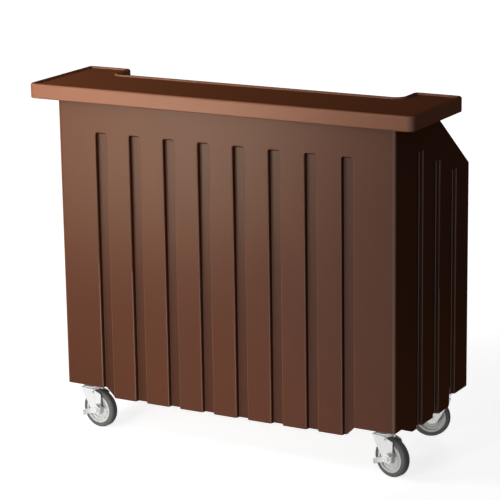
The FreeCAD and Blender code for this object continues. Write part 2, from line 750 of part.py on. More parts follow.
def bin_cover(side, level):
    """Half cover on one side of the middle, with a sunk finger grip near its outer end."""
    outer = side * (BIN_LENGTH / 2 + COVER_STOP_THICKNESS - SLIDING)
    x0, x1 = sorted((outer, -side * COVER_OVERLAP / 2))
    half = BIN_WIDTH / 2 + COVER_ENGAGE
    plate = slab(x0, x1, Y_BIN - half, Y_BIN + half, level, level + COVER_THICKNESS, COVER_CORNER_RADIUS)
    grip = outer - side * GRIP_SETBACK
    top = level + COVER_THICKNESS
    cut = slab(grip - GRIP_WIDTH / 2, grip + GRIP_WIDTH / 2, Y_BIN - GRIP_LENGTH / 2,
               Y_BIN + GRIP_LENGTH / 2, top - GRIP_DEPTH, top + OVERRUN, GRIP_WIDTH / 2 - TOUCH)
    return plate.cut(cut)


def make_bin_cover_left():
    return bin_cover(-1, COVER_LEVELS[1])


def make_bin_cover_right():
    return bin_cover(1, COVER_LEVELS[0])


# Drain
def drain_point(z):
    return Vector(0, Y_BIN, z)


def make_drain_flange():
    """Flange on the bin floor with a tail through liner, foam and jacket."""
    low = Z_DRAIN_TAIL
    seat = Z_BIN_FLOOR + DRAIN_FLANGE_THICKNESS
    solid = rod(DRAIN_FLANGE_RADIUS, drain_point(Z_BIN_FLOOR), Z_AXIS, DRAIN_FLANGE_THICKNESS)
    solid = solid.fuse(rod(DRAIN_RADIUS, drain_point(low), Z_AXIS, seat - low))
    bore = rod(DRAIN_BORE, drain_point(low - OVERRUN), Z_AXIS, BIN_DEPTH)
    recess = rod(STRAINER_RADIUS + SLIDING, drain_point(seat - STRAINER_THICKNESS), Z_AXIS, OVERRUN)
    return solid.cut([bore, recess]).removeSplitter()


def make_drain_strainer():
    low = Z_BIN_FLOOR + DRAIN_FLANGE_THICKNESS - STRAINER_THICKNESS
    disc = rod(STRAINER_RADIUS, drain_point(low), Z_AXIS, STRAINER_THICKNESS)
    holes = [rod(STRAINER_HOLE_RADIUS, drain_point(low - OVERRUN), Z_AXIS, 2 * OVERRUN)]
    for i in range(STRAINER_HOLES):
        turn = 2 * math.pi * i / STRAINER_HOLES
        spot = Vector(math.cos(turn), math.sin(turn), 0) * STRAINER_RING_RADIUS
        holes.append(holes[0].translated(spot))
    return disc.cut(holes)


def make_drain_locknut():
    low = Z_JACKET_UNDER - LOCKNUT_HEIGHT
    nut = hexagon(LOCKNUT_FLATS, drain_point(low), Z_AXIS, LOCKNUT_HEIGHT)
    return nut.cut(rod(DRAIN_RADIUS + RUNNING, drain_point(low - OVERRUN), Z_AXIS, LOCKNUT_HEIGHT + 2 * OVERRUN))


def elbow_sweep(radius):
    """Round bar along the elbow, down from the drain and to the rear."""
    y_end = Y_VALVE - VALVE_LENGTH / 2
    turn = Vector(0, Y_BIN + ELBOW_BEND, Z_ELBOW_BEND)
    arc_mid = turn - (Y_AXIS + Z_AXIS) * (ELBOW_BEND / math.sqrt(2))
    foot = Vector(0, Y_BIN + ELBOW_BEND, Z_DRAIN_PIPE)
    path = Part.Wire([Part.makeLine(drain_point(Z_ELBOW_TOP), drain_point(Z_ELBOW_BEND)),
                      Part.Arc(drain_point(Z_ELBOW_BEND), arc_mid, foot).toShape(),
                      Part.makeLine(foot, Vector(0, y_end, Z_DRAIN_PIPE))])
    ring = Part.Wire(Part.makeCircle(radius, drain_point(Z_ELBOW_TOP), Z_AXIS))
    return path.makePipeShell([ring], True, False)


def make_drain_elbow():
    solid = elbow_sweep(DRAIN_BORE + ELBOW_WALL)
    socket = rod(DRAIN_RADIUS + ELBOW_WALL, drain_point(Z_ELBOW_BEND), Z_AXIS, Z_ELBOW_TOP - Z_ELBOW_BEND)
    seat = rod(DRAIN_RADIUS + RUNNING, drain_point(Z_DRAIN_TAIL), Z_AXIS, BIN_DEPTH)
    return solid.fuse(socket).cut([elbow_sweep(DRAIN_BORE), seat]).removeSplitter()


def valve_point(y):
    return Vector(0, y, Z_DRAIN_PIPE)


def make_drain_valve_body():
    """Ball valve with an inlet collar, an upright bonnet and a plain hose outlet."""
    y0 = Y_VALVE - VALVE_LENGTH / 2
    solid = rod(VALVE_RADIUS, valve_point(y0), Y_AXIS, VALVE_LENGTH)
    rims = edges_where(solid, lambda e: len(e.Vertexes) == 1)
    solid = solid.makeFillet(VALVE_RADIUS / 3, rims)
    collar = hexagon(VALVE_COLLAR_FLATS, valve_point(y0), Y_AXIS, VALVE_COLLAR_LENGTH)
    bonnet = rod(BONNET_RADIUS, Vector(0, Y_VALVE, Z_DRAIN_PIPE), Z_AXIS, BONNET_HEIGHT - SLIDING)
    outlet = rod(OUTLET_RADIUS, valve_point(Y_VALVE), Y_AXIS, VALVE_LENGTH / 2 + OUTLET_LENGTH)
    solid = solid.fuse([collar, bonnet, outlet])
    bore = rod(OUTLET_BORE, valve_point(Y_VALVE + STEM_RADIUS + LOOSE), Y_AXIS, VALVE_LENGTH + OUTLET_LENGTH)
    inlet = rod(OUTLET_BORE, valve_point(y0 - OVERRUN), Y_AXIS, VALVE_LENGTH / 2 + OVERRUN - STEM_RADIUS - LOOSE)
    stem = rod(STEM_RADIUS + RUNNING, Vector(0, Y_VALVE, Z_LEVER - STEM_DEPTH), Z_AXIS, STEM_DEPTH)
    return solid.cut([bore, inlet, stem]).removeSplitter()


def make_drain_lever():
    """Lever with its stem; closed it lies across the pipe."""
    hub = rod(LEVER_HUB_RADIUS, Vector(0, Y_VALVE, Z_LEVER), Z_AXIS, LEVER_THICKNESS * 2)
    half = LEVER_WIDTH / 2
    arm = slab(0, LEVER_LENGTH, Y_VALVE - half, Y_VALVE + half, Z_LEVER + LEVER_THICKNESS / 2,
               Z_LEVER + LEVER_THICKNESS * 3 / 2, half - TOUCH)
    stem = rod(STEM_RADIUS, Vector(0, Y_VALVE, Z_LEVER - STEM_DEPTH + LOOSE), Z_AXIS, STEM_DEPTH)
    return hub.fuse([arm, stem]).removeSplitter()


# Speed rail
def hanger_seats():
    """Seat and direction of the two screws of each hanger."""
    seats = []
    for side in (-1, 1):
        x = side * HANGER_SPREAD / 2
        for share in (-1, 1):
            spot = x + share * HANGER_WIDTH / 4
            seats.append((Vector(spot, Y_DECK_REAR + HANGER_SHEET, Z_HANGER_UNDER - HANGER_RISE / 2), Y_AXIS * -1))
    return seats


def hanger_holes():
    return [screw_hole(seat, inward) for seat, inward in hanger_seats()]


def make_rail_hangers():
    """Two bent hangers on the apron, each with an upright lip."""
    y0 = Y_DECK_REAR
    sheet = HANGER_SHEET
    low = Z_HANGER_UNDER
    points = [(y0, low - HANGER_RISE), (y0 + sheet, low - HANGER_RISE), (y0 + sheet, low),
              (Y_HANGER_LIP + sheet, low), (Y_HANGER_LIP + sheet, Z_HANGER_LIP),
              (Y_HANGER_LIP, Z_HANGER_LIP), (Y_HANGER_LIP, low + sheet), (y0, low + sheet)]
    solids = []
    for side in (-1, 1):
        x = side * HANGER_SPREAD / 2 - HANGER_WIDTH / 2
        solid = prism(points, [0] * 8, end_view(x), X_AXIS * HANGER_WIDTH)
        solids.append(solid.cut(hanger_holes()))
    return Part.makeCompound(solids)


def make_hanger_screws():
    return Part.makeCompound([screw(seat, inward) for seat, inward in hanger_seats()])


def make_speed_rail():
    """Sheet trough with closed ends, a hooked back and a rounded front hem."""
    sheet = RAIL_SHEET
    x = RAIL_LENGTH / 2
    low, top, back, outer = Z_RAIL_UNDER, Z_RAIL_TOP, Y_RAIL_BACK, Y_RAIL_OUTER
    front_top = low + RAIL_FRONT_HEIGHT
    inner = outer - RAIL_HEM_RADIUS
    hem = Vector(-x, inner, front_top)
    points = [(Y_RAIL_RETURN, top - RAIL_HOOK), (Y_RAIL_RETURN, top), (back + sheet, top),
              (back + sheet, low + sheet), (inner - sheet / 2, low + sheet), (inner - sheet / 2, front_top),
              (inner + sheet / 2, front_top), (inner + sheet / 2, low), (back, low),
              (back, top - sheet), (Y_RAIL_RETURN + sheet, top - sheet), (Y_RAIL_RETURN + sheet, top - RAIL_HOOK)]
    radii = [0, sheet, sheet, sheet, sheet, 0, 0, 2 * sheet, 2 * sheet, 0, 0, 0]
    solid = prism(points, radii, end_view(-x), X_AXIS * RAIL_LENGTH)
    solid = solid.fuse(rod(RAIL_HEM_RADIUS, hem, X_AXIS, RAIL_LENGTH))
    ends = []
    for side in (-1, 1):
        corners = [(back, low), (inner, low), (inner, front_top), (back, top - RAIL_HOOK)]
        x0 = min(side * x, side * (x - sheet))
        ends.append(prism(corners, [0] * 4, end_view(x0), X_AXIS * sheet))
    return solid.fuse(ends).cut(rail_slots()).removeSplitter()


def rail_slots():
    """Drain slots along the bottom of the trough."""
    middle = (Y_RAIL_BACK + Y_RAIL_OUTER) / 2
    pitch = RAIL_LENGTH / RAIL_SLOTS
    half = RAIL_SLOT_LENGTH / 2
    slots = []
    for i in range(RAIL_SLOTS):
        x = pitch * (i - (RAIL_SLOTS - 1) / 2)
        slots.append(slab(x - RAIL_SLOT_WIDTH / 2, x + RAIL_SLOT_WIDTH / 2, middle - half, middle + half,
                          Z_RAIL_UNDER - OVERRUN, Z_RAIL_UNDER + OVERRUN, RAIL_SLOT_WIDTH / 2 - TOUCH))
    return slots


# Casters
def kingpin(name):
    """Plan position of the kingpin of a caster."""
    end, side = name.split("_")
    return Vector(X_KINGPIN[end] * (1 if side == "right" else -1), Y_KINGPIN[end], 0)


def swivelled(shape, name):
    """Shape drawn about the kingpin with the trail on +X, turned and moved to its caster."""
    turned_shape = shape.rotated(ORIGIN, Z_AXIS, CASTER_ANGLES[name])
    return turned_shape.translated(kingpin(name))


def bolt_offsets():
    return [Vector(sx * PLATE_BOLT_LENGTH / 2, sy * PLATE_BOLT_WIDTH / 2, 0) for sx in (-1, 1) for sy in (-1, 1)]


def insert_seats():
    return [kingpin(name) + offset + Z_AXIS * Z_FLOOR_UNDER for name in CASTER_ANGLES for offset in bolt_offsets()]


def insert_hole(seat):
    return rod(INSERT_RADIUS + RUNNING, seat - Z_AXIS * OVERRUN, Z_AXIS, INSERT_LENGTH + OVERRUN)


def make_caster_inserts():
    """Blind threaded inserts in the underside of the floor."""
    solids = []
    for seat in insert_seats():
        body = rod(INSERT_RADIUS, seat, Z_AXIS, INSERT_LENGTH)
        solids.append(body.cut(rod(BOLT_RADIUS + RUNNING, seat - Z_AXIS * OVERRUN, Z_AXIS, BOLT_LENGTH + OVERRUN)))
    return Part.makeCompound(solids)


def make_caster_bolts():
    solids = []
    for seat in insert_seats():
        under = seat - Z_AXIS * (PLATE_THICKNESS + BOLT_HEAD_HEIGHT)
        head = hexagon(BOLT_FLATS, under, Z_AXIS, BOLT_HEAD_HEIGHT)
        solids.append(head.fuse(rod(BOLT_RADIUS, under, Z_AXIS, BOLT_HEAD_HEIGHT + BOLT_LENGTH)))
    return Part.makeCompound(solids)


def make_caster_plate(name):
    x, y = PLATE_LENGTH / 2, PLATE_WIDTH / 2
    solid = slab(-x, x, -y, y, Z_PLATE_UNDER, CASTER_HEIGHT, PLATE_RADIUS)
    low = Vector(0, 0, Z_PLATE_UNDER - OVERRUN)
    hole = rod(BOLT_RADIUS + SLIDING, low, Z_AXIS, PLATE_THICKNESS + 2 * OVERRUN)
    centre = rod(KINGPIN_RADIUS + RUNNING, low, Z_AXIS, PLATE_THICKNESS + 2 * OVERRUN)
    solid = solid.cut(copies(hole, bolt_offsets()) + [centre])
    return solid.translated(kingpin(name))


def make_swivel_race(name):
    """Pressed dish under the plate that carries the swivel bearing."""
    low = Z_BOSS + SLIDING
    points = [(KINGPIN_RADIUS + RUNNING, Z_PLATE_UNDER), (RACE_RADIUS, Z_PLATE_UNDER),
              (RACE_LOWER_RADIUS, low), (KINGPIN_RADIUS + RUNNING, low)]
    face = Part.Face(outline(points, [0, 0, SWIVEL_BOSS_HEIGHT, 0], front_view(0)))
    return face.revolve(ORIGIN, Z_AXIS).translated(kingpin(name))


def make_kingpin(name):
    """Rivet through plate, race and fork crown, headed below the crown."""
    low = Z_CROWN_UNDER - SLIDING - KINGPIN_HEAD_HEIGHT
    head = rod(KINGPIN_HEAD_RADIUS, Vector(0, 0, low), Z_AXIS, KINGPIN_HEAD_HEIGHT)
    rim = edges_where(head, lambda e: near(spans(e).ZMax, low))
    head = head.makeFillet(KINGPIN_HEAD_HEIGHT / 2, rim)
    pin = rod(KINGPIN_RADIUS, Vector(0, 0, low), Z_AXIS, CASTER_HEIGHT - low)
    return head.fuse(pin).removeSplitter().translated(kingpin(name))


def leg_outline(place, run):
    """Side view of the fork, wide at the crown and rounded at the axle."""
    eye = LEG_EYE_RADIUS
    foot = AXLE_HEIGHT - eye
    points = [(-LEG_FRONT, Z_CROWN), (LEG_CROWN_REAR, Z_CROWN), (LEG_HEEL_REAR, Z_CROWN - LEG_HEEL_DROP),
              (TRAIL + eye, foot), (TRAIL - eye, foot)]
    soft = 2 * LEG_CORNER_RADIUS
    return prism(points, [LEG_CORNER_RADIUS, soft, soft, eye - LOOSE, eye - LOOSE], place, run)


def make_fork(name):
    """Pressed fork: a bent channel cut to the side view of the legs."""
    foot = AXLE_HEIGHT - LEG_EYE_RADIUS - OVERRUN
    out, sheet, bend = FORK_OUTSIDE, FORK_SHEET, FORK_BEND_RADIUS
    points = [(-out, foot), (-out + sheet, foot), (-FORK_INSIDE, Z_CROWN_UNDER), (FORK_INSIDE, Z_CROWN_UNDER),
              (out - sheet, foot), (out, foot), (out, Z_CROWN), (-out, Z_CROWN)]
    radii = [0, 0, bend - sheet, bend - sheet, 0, 0, bend, bend]
    start = -LEG_FRONT - OVERRUN
    channel = prism(points, radii, end_view(start), X_AXIS * (LEG_HEEL_REAR - start + OVERRUN))
    solid = channel.common(leg_outline(front_view(-out - OVERRUN), Y_AXIS * 2 * (out + OVERRUN)))
    boss = rod(SWIVEL_BOSS_RADIUS, Vector(0, 0, Z_CROWN_UNDER), Z_AXIS, Z_BOSS - Z_CROWN_UNDER)
    boss = boss.common(block(-LEG_FRONT, TRAIL, -FORK_INSIDE, FORK_INSIDE, Z_CROWN_UNDER, Z_BOSS))
    pin = rod(KINGPIN_RADIUS + RUNNING, Vector(0, 0, Z_CROWN_UNDER - OVERRUN), Z_AXIS, Z_BOSS - Z_CROWN_UNDER + 2 * OVERRUN)
    axle = rod(AXLE_RADIUS + RUNNING, Vector(TRAIL, -out - OVERRUN, AXLE_HEIGHT), Y_AXIS, 2 * (out + OVERRUN))
    spot = Vector(LEG_HOLE_REAR, -out - OVERRUN, Z_CROWN - LEG_HOLE_DROP)
    small = rod(LEG_HOLE_RADIUS, spot, Y_AXIS, 2 * (out + OVERRUN))
    return swivelled(solid.fuse(boss).cut([pin, axle, small]).removeSplitter(), name)


def axle_near_side(name):
    """Width position of the bolt head's seat: the fork leg, or the brake lever on it."""
    return -FORK_OUTSIDE - (BRAKE_SHEET + 2 * SLIDING if name in BRAKED else 0)


def make_axle(name):
    """Axle bolt with a separate nut on the far leg."""
    near_side = axle_near_side(name)
    start = Vector(TRAIL, near_side, AXLE_HEIGHT)
    head = hexagon(AXLE_FLATS, start - Y_AXIS * AXLE_HEAD_HEIGHT, Y_AXIS, AXLE_HEAD_HEIGHT)
    length = FORK_OUTSIDE - near_side + AXLE_HEAD_HEIGHT + AXLE_TAIL
    bolt = head.fuse(rod(AXLE_RADIUS, start, Y_AXIS, length))
    seat = Vector(TRAIL, FORK_OUTSIDE, AXLE_HEIGHT)
    nut = hexagon(AXLE_FLATS, seat, Y_AXIS, AXLE_HEAD_HEIGHT)
    nut = nut.cut(rod(AXLE_RADIUS + RUNNING, seat - Y_AXIS * OVERRUN, Y_AXIS, AXLE_HEAD_HEIGHT + 2 * OVERRUN))
    return Part.makeCompound([swivelled(bolt, name), swivelled(nut, name)])


def make_sleeve(name):
    """Plain bearing sleeve clamped between the legs."""
    half = FORK_INSIDE - RUNNING
    start = Vector(TRAIL, -half, AXLE_HEIGHT)
    return swivelled(tube(SLEEVE_RADIUS, AXLE_RADIUS + RUNNING, start, Y_AXIS, 2 * half), name)


def mirrored_profile(half):
    """Closed profile from points of radius and half width, added mirrored to the other side."""
    return half + [(radius, -width) for radius, width in reversed(half)]


def make_wheel_core(name):
    """Moulded core with a long hub, a thin web with a ring rib and a wide rim."""
    rim = CORE_RADIUS - CORE_RIM_DEPTH
    web, rib = CORE_WEB_WIDTH / 2, CORE_RIB_WIDTH / 2
    rib_end = CORE_RIB_RADIUS + CORE_RIB_DEPTH
    half = [(SLEEVE_RADIUS + RUNNING, HUB_WIDTH / 2), (HUB_RADIUS - GROOVE_DRAFT, HUB_WIDTH / 2),
            (HUB_RADIUS, web), (CORE_RIB_RADIUS, web), (CORE_RIB_RADIUS, rib), (rib_end, rib), (rib_end, web),
            (rim, web), (rim, CORE_RIM_WIDTH / 2), (CORE_RADIUS, CORE_RIM_WIDTH / 2)]
    centre = Vector(TRAIL, 0, AXLE_HEIGHT)
    return swivelled(turned(mirrored_profile(half), centre, Y_AXIS), name)


def make_tyre(name):
    inner = CORE_RADIUS + RUNNING
    half = WHEEL_WIDTH / 2
    points = [(TRAIL + inner, -half), (TRAIL + inner, half), (TRAIL + WHEEL_RADIUS, half), (TRAIL + WHEEL_RADIUS, -half)]
    wire = outline(points, [0, 0, TYRE_SHOULDER_RADIUS, TYRE_SHOULDER_RADIUS], plan(AXLE_HEIGHT))
    return swivelled(Part.Face(wire).revolve(Vector(TRAIL, 0, AXLE_HEIGHT), Y_AXIS), name)


def make_brake_lever(name):
    """Side lever on the axle with two arms and turned-out feet."""
    y0 = -FORK_OUTSIDE - SLIDING - BRAKE_SHEET
    half = BRAKE_ARM_WIDTH / 2
    hub = rod(BRAKE_HUB_RADIUS, Vector(0, y0, 0), Y_AXIS, BRAKE_SHEET)
    long_arm = prism(rectangle(-BRAKE_LONG_ARM, 0, -half, half), [0] * 4, front_view(y0), Y_AXIS * BRAKE_SHEET)
    short_arm = prism(rectangle(0, BRAKE_SHORT_ARM, -half, half), [0] * 4, front_view(y0), Y_AXIS * BRAKE_SHEET)
    long_foot = block(-BRAKE_LONG_ARM, -BRAKE_LONG_ARM + BRAKE_SHEET, y0 - BRAKE_FOOT, y0, -half, half)
    short_foot = block(BRAKE_SHORT_ARM - BRAKE_SHEET, BRAKE_SHORT_ARM, y0 - BRAKE_FOOT, y0, -half, half)
    short = short_arm.fuse(short_foot).rotated(ORIGIN, Y_AXIS, -BRAKE_BEND)
    solid = hub.fuse([long_arm, long_foot, short])
    hole = rod(AXLE_RADIUS + RUNNING, Vector(0, y0 - BRAKE_FOOT, 0), Y_AXIS, BRAKE_SHEET + BRAKE_FOOT + OVERRUN)
    solid = solid.cut(hole).removeSplitter()
    solid = solid.rotated(ORIGIN, Y_AXIS, -BRAKE_TILT).translated(Vector(TRAIL, 0, AXLE_HEIGHT))
    return swivelled(solid, name)


SINGLE_PIECES = {
    "cabinet_shell": make_cabinet_shell,
    "bar_top": make_bar_top,
    "top_brackets": make_top_brackets,
    "bracket_screws": make_bracket_screws,
    "ice_bin_liner": make_ice_bin_liner,
    "ice_bin_foam": make_ice_bin_foam,
    "ice_bin_jacket": make_ice_bin_jacket,
    "cover_rails": make_cover_rails,
    "cover_stops": make_cover_stops,
    "bin_cover_left": make_bin_cover_left,
    "bin_cover_right": make_bin_cover_right,
    "drain_flange": make_drain_flange,
    "drain_strainer": make_drain_strainer,
    "drain_locknut": make_drain_locknut,
    "drain_elbow": make_drain_elbow,
    "drain_valve_body": make_drain_valve_body,
    "drain_lever": make_drain_lever,
    "speed_rail": make_speed_rail,
    "rail_hangers": make_rail_hangers,
    "hanger_screws": make_hanger_screws,
    "storage_shelf": make_storage_shelf,
    "caster_inserts": make_caster_inserts,
    "caster_bolts": make_caster_bolts,
}

CASTER_PIECES = {
    "caster_plate": make_caster_plate,
    "swivel_race": make_swivel_race,
    "kingpin": make_kingpin,
    "fork": make_fork,
    "axle": make_axle,
    "sleeve": make_sleeve,
    "wheel_core": make_wheel_core,
    "tyre": make_tyre,
}


def all_pieces():
    """Name and shape of every piece."""
    for name, make in SINGLE_PIECES.items():
        yield name, make()
    for caster in CASTER_ANGLES:
        for piece, make in CASTER_PIECES.items():
            yield piece + "_" + caster, make(caster)
    for caster in BRAKED:
        yield "brake_lever_" + caster, make_brake_lever(caster)


def main():
    os.makedirs("parts", exist_ok=True)
    for name, shape in all_pieces():
        shape.exportStep(os.path.join("parts", name + ".step"))


if __name__ == "__main__":
    main()
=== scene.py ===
import math

import bpy
from bpy.props import FloatProperty, FloatVectorProperty, PointerProperty
from mathutils import Matrix, Vector

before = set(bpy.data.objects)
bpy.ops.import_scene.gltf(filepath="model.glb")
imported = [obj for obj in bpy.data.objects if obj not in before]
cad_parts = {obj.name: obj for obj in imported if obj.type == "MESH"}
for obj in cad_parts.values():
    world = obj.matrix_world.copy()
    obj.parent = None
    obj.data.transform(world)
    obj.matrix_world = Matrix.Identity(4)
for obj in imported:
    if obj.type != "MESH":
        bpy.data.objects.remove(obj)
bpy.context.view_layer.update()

bl_info = {
    "name": "Portable Bar Finishes",
    "version": (1, 0, 0),
    "blender": (4, 5, 0),
    "location": "View3D > Sidebar > Portable Bar",
    "description": "Finishes, studio and camera for the portable bar",
    "category": "Material",
}

CORNERS = ("front_left", "front_right", "rear_left", "rear_right")
FRONT_CORNERS = CORNERS[:2]

# The cabinet's front plane and the plane of its right end, in metres; the left end mirrors it
SHELL_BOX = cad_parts["cabinet_shell"].bound_box
FRONT_PLANE = min(corner[1] for corner in SHELL_BOX)
END_PLANE = max(corner[0] for corner in SHELL_BOX)

# Depths behind those planes, in metres, between which the painted edge highlight and the painted shade
# of the groove floors fade in or out
EDGE_FADE = (0.004, 0.008)
GROOVE_WALL = (0.002, 0.014)
GROOVE_BACK = (0.019, 0.021)
CORNER_FADE = (0.025, 0.03)

# Heights on a moulded piece, in metres, between which its scuffs thin out
SCUFF_FADE = (0.1, 0.45)

# Sockets of a Mix node that is set to colours, by number because several share a name
MIX_FACTOR = 0
MIX_FIRST = 6
MIX_SECOND = 7
MIX_RESULT = 2

# Width of the camera's sensor in millimetres, and how far it sees in metres
SENSOR_WIDTH = 36.0
VIEW_REACH = 200.0

WHITE = (1.0, 1.0, 1.0, 1.0)


class Flow:
    """A shader socket that takes part in Python sums; each operator adds one Math node."""

    def __init__(self, tree, socket=None):
        self.tree = tree
        self.socket = socket

    def add(self, kind, settings=None, inputs=None, output=0):
        """Add any node: its own settings first, then the values or links of its sockets."""
        node = self.tree.nodes.new(kind)
        for name, value in (settings or {}).items():
            setattr(node, name, value)
        for name, value in (inputs or {}).items():
            if isinstance(value, Flow):
                self.tree.links.new(value.socket, node.inputs[name])
            else:
                node.inputs[name].default_value = value
        return Flow(self.tree, node.outputs[output] if node.outputs else None)

    def math(self, operation, first, second=0.0, clamp=False):
        """One Math node on two values."""
        settings = {"operation": operation, "use_clamp": clamp}
        return self.add("ShaderNodeMath", settings, {0: first, 1: second})

    def __add__(self, other):
        return self.math("ADD", self, other)

    def __radd__(self, other):
        return self.math("ADD", other, self)

    def __sub__(self, other):
        return self.math("SUBTRACT", self, other)

    def __rsub__(self, other):
        return self.math("SUBTRACT", other, self)

    def __mul__(self, other):
        return self.math("MULTIPLY", self, other)

    def __rmul__(self, other):
        return self.math("MULTIPLY", other, self)

    def __pow__(self, other):
        return self.math("POWER", self, other)

    def __rpow__(self, other):
        return self.math("POWER", other, self)

    def size(self):
        """The same value without its sign."""
        return self.math("ABSOLUTE", self)

    def limited(self):
        """The same value kept between 0 and 1."""
        return self.math("ADD", self, 0.0, clamp=True)

    def ramp(self, low, high):
        """A smooth rise from 0 at low to 1 at high."""
        settings = {"interpolation_type": "SMOOTHSTEP"}
        inputs = {"Value": self, "From Min": low, "From Max": high}
        return self.add("ShaderNodeMapRange", settings, inputs)

    def mix(self, first, second):
        """A colour between first, where this value is 0, and second, where it is 1."""
        settings = {"data_type": "RGBA"}
        inputs = {MIX_FACTOR: self, MIX_FIRST: first, MIX_SECOND: second}
        return self.add("ShaderNodeMix", settings, inputs, output=MIX_RESULT)

    def place(self):
        """The point's place on the piece, in metres."""
        return self.add("ShaderNodeTexCoord", output="Object")

    def lean(self, axis):
        """One of the three numbers of the surface's direction: 1 along the axis, -1 against it."""
        return self.add("ShaderNodeTexCoord", output="Normal").part(axis)

    def part(self, axis):
        """One of the three numbers of a place."""
        return self.add("ShaderNodeSeparateXYZ", inputs={"Vector": self}, output=axis)

    def stretched(self, x, y, z):
        """A place scaled along each axis."""
        settings = {"operation": "MULTIPLY"}
        return self.add("ShaderNodeVectorMath", settings, {0: self, 1: (x, y, z)})

    def span(self):
        """A place's distance from the origin."""
        return self.add("ShaderNodeVectorMath", {"operation": "LENGTH"}, {0: self}, output="Value")

    def noise(self, cell, detail=2.0, rough=0.5):
        """Soft noise over a place, with cells of the given size in metres."""
        inputs = {"Vector": self, "Scale": 1.0 / cell, "Detail": detail, "Roughness": rough}
        return self.add("ShaderNodeTexNoise", inputs=inputs)

    def cells(self, cell):
        """Distance to the nearest cell centre over a place."""
        return self.add("ShaderNodeTexVoronoi", inputs={"Vector": self, "Scale": 1.0 / cell})

    def bump(self, depth, strength=1.0):
        """A bumped normal from this height, with its depth in metres."""
        inputs = {"Height": self, "Distance": depth, "Strength": strength}
        return self.add("ShaderNodeBump", inputs=inputs)

    def squarely(self):
        """How squarely the surface is seen: 1 straight on, 0 along it."""
        return 1.0 - self.add("ShaderNodeLayerWeight", inputs={"Blend": 0.5}, output="Facing")

    def plain_sight(self):
        """1 for what the camera sees, straight, in a mirror or through glass, and 0 for soft light."""
        rays = ("Is Camera Ray", "Is Glossy Ray", "Is Transmission Ray")
        camera, glossy, through = (self.add("ShaderNodeLightPath", output=ray) for ray in rays)
        return (camera + glossy + through).limited()

    def surface(self, inputs):
        """Close the tree with a Principled surface."""
        shader = self.add("ShaderNodeBsdfPrincipled", inputs=inputs)
        self.add("ShaderNodeOutputMaterial", inputs={"Surface": shader})


def new_material(name):
    """An empty node material and the Flow that fills its tree."""
    material = bpy.data.materials.new(name)
    material.use_nodes = True
    material.node_tree.nodes.clear()
    return material, Flow(material.node_tree)


def shaded(colour, factor):
    """A colour made darker or lighter by a factor."""
    red, green, blue = colour
    return (red * factor, green * factor, blue * factor, 1.0)


def grey(level):
    """A grey of the given level as a colour."""
    return (level, level, level, 1.0)


def dress(names, material):
    """Give the named CAD nodes the material in every slot they have."""
    for name in names:
        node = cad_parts[name]
        if not node.material_slots:
            node.data.materials.append(material)
        for slot in node.material_slots:
            slot.material = material


def at_casters(*pieces):
    """The node names of the given pieces on all four casters."""
    return [f"{piece}_{corner}" for piece in pieces for corner in CORNERS]


def groove_shade_mask(place):
    """1 on the floors of the cabinet's grooves, front and ends, and 0 on the faces around them; it
    places the painted shade of the groove floors.
    """
    front_depth = place.part("Y") - FRONT_PLANE
    end_depth = END_PLANE - place.part("X").size()
    front = front_depth.ramp(*GROOVE_WALL) * (1.0 - front_depth.ramp(*GROOVE_BACK))
    ends = end_depth.ramp(*GROOVE_WALL) * (1.0 - end_depth.ramp(*GROOVE_BACK))
    return (front * end_depth.ramp(*CORNER_FADE) + ends * front_depth.ramp(*CORNER_FADE)).limited()


def edge_highlight_mask(flow, place):
    """1 on the rounded edges of the front, round its grooves and at its corners, where a highlight is
    painted, and 0 elsewhere.
    """
    across, along, up = (flow.lean(axis) for axis in "XYZ")
    near_front = 1.0 - (place.part("Y") - FRONT_PLANE).ramp(*EDGE_FADE)
    rounded = ((across * along).size() + (along * up).size()) * 2.0
    return rounded.ramp(0.25, 0.9) * near_front


def moulded(name, colour, roughness, grain, highlit=None, upward=None):
    """Rotomoulded polyethylene: orange peel, drifting colour, scuffs that thicken near the floor.

    With a highlight colour the front's rounded edges get that colour as a painted highlight, and the
    groove floors get painted shade. Faces that look up can have a colour of their own, painted shade."""
    material, flow = new_material(name)
    place = flow.place()
    drift = place.noise(cell=0.35, detail=4.0)
    fleck = place.noise(cell=grain * 0.4)
    peel = place.noise(cell=grain)
    smudge = place.stretched(1.0, 1.0, 0.2).noise(cell=0.03, detail=6.0, rough=0.65)
    low = 1.0 - place.part("Z").ramp(*SCUFF_FADE)
    wear = smudge.ramp(0.6, 0.78) * (0.12 + low * 0.5)
    tint = (drift * 0.75 + fleck * 0.25).mix(shaded(colour, 0.84), shaded(colour, 1.16))
    if highlit:
        # Painted shade: the groove floors are darkened, standing in for the shade that falls into the
        # recesses
        tint = (groove_shade_mask(place) * 0.3).mix(tint, shaded(colour, 0.1))
        # Painted highlight: the front's rounded edges are mixed towards a paler brown, standing in for
        # the light they catch
        tint = (edge_highlight_mask(flow, place) * 0.6).mix(tint, shaded(highlit, 1.0))
    # Painted shade: faces that look up are mixed towards a darker brown, standing in for the lower light
    # they get
    if upward:
        tint = flow.lean("Z").ramp(0.6, 0.95).mix(tint, shaded(upward, 1.0))
    flow.surface({
        "Base Color": (wear * 0.3).mix(tint, shaded(colour, 2.2)),
        "Roughness": (roughness - 0.06) + drift * 0.06 + fleck * 0.06 + wear * 0.12,
        "Specular IOR Level": 0.0,
        "Coat Weight": flow.squarely() ** 5.0 * (0.85 - wear * 0.4),
        "Coat Roughness": 0.3,
        "Normal": (peel * 0.7 + fleck * 0.3).bump(depth=grain * 0.08, strength=0.5),
    })
    return material


